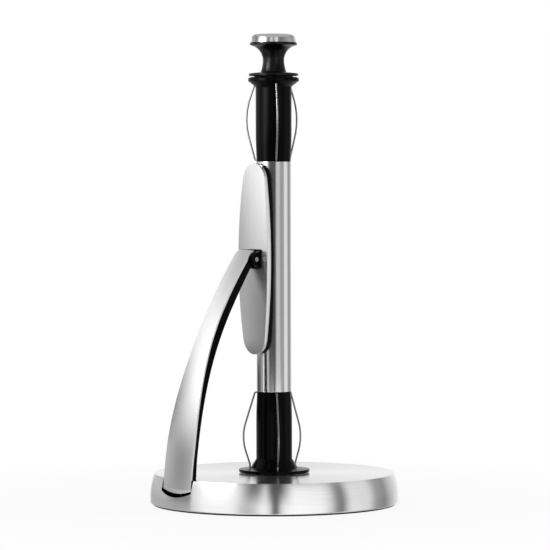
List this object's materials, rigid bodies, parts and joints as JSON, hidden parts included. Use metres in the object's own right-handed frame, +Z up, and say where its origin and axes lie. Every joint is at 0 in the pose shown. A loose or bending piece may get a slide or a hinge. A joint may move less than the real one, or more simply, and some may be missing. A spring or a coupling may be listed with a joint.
{
  "type": "paper towel holder",
  "caption": "Free-standing paper towel holder: round weighted steel base, turning post with sprung wire cages, waisted knob, and a bowed sprung arm whose pad presses on the roll.",
  "frame": {"origin": "centre of the base on the floor", "axes": "+Z up along the post; the arm stands on the -X side"},
  "size_m": [0.19, 0.19, 0.3599],
  "materials": {
    "brushed_steel": "satin, fine brushed lines",
    "black_plastic": "satin moulded",
    "spring_wire": "drawn wire",
    "plain_steel": "plain turned",
    "foot_rubber": "matt",
    "cast_iron": "as cast",
    "plate_metal": "black coated",
    "bearing_plastic": "natural moulded",
    "insert_brass": "turned"
  },
  "bodies": {
    "base": {"base_shell": "brushed_steel", "base_plate": "plate_metal", "base_weight": "cast_iron", "foot_ring": "foot_rubber", "base_screws": "plain_steel", "arm_housing": "black_plastic", "arm_hinge_pin": "plain_steel", "arm_spring": "spring_wire", "center_rod": "plain_steel", "rod_washer": "plain_steel", "rod_nut": "plain_steel", "thrust_washer": "bearing_plastic", "knob": "black_plastic", "knob_insert": "insert_brass", "knob_cap": "brushed_steel"},
    "carrier": {"post_tube": "brushed_steel", "lower_sleeve": "black_plastic", "upper_sleeve": "black_plastic", "lower_bush": "bearing_plastic", "upper_bush": "bearing_plastic", "lower_wire_1": "spring_wire", "lower_wire_2": "spring_wire", "lower_wire_3": "spring_wire", "upper_wire_1": "spring_wire", "upper_wire_2": "spring_wire", "upper_wire_3": "spring_wire"},
    "arm": {"arm_skin": "brushed_steel", "arm_core": "black_plastic"},
    "pad": {"pad_face": "brushed_steel", "pad_back": "black_plastic", "pad_clevis": "black_plastic", "pad_pin": "plain_steel", "pad_screws": "plain_steel"}
  },
  "joints": [
    {"name": "carrier_spin", "type": "hinge", "parent": "base", "child": "carrier", "pos_m": [0, 0, 0.15], "axis": [0, 0, 1], "continuous": true},
    {"name": "arm_swing", "type": "hinge", "parent": "base", "child": "arm", "pos_m": [-0.0873, 0, 0.016], "axis": [0, -1, 0], "range_deg": [0, 24], "stiffness_Nm_per_rad": 0.8, "springref_deg": -20.05},
    {"name": "pad_tilt", "type": "hinge", "parent": "arm", "child": "pad", "pos_m": [-0.0247, 0, 0.188], "axis": [0, -1, 0], "range_deg": [-24, 0]}
  ],
  "couplings": [
    {"joint": "pad_tilt", "follows": "arm_swing", "ratio": -1}
  ]
}
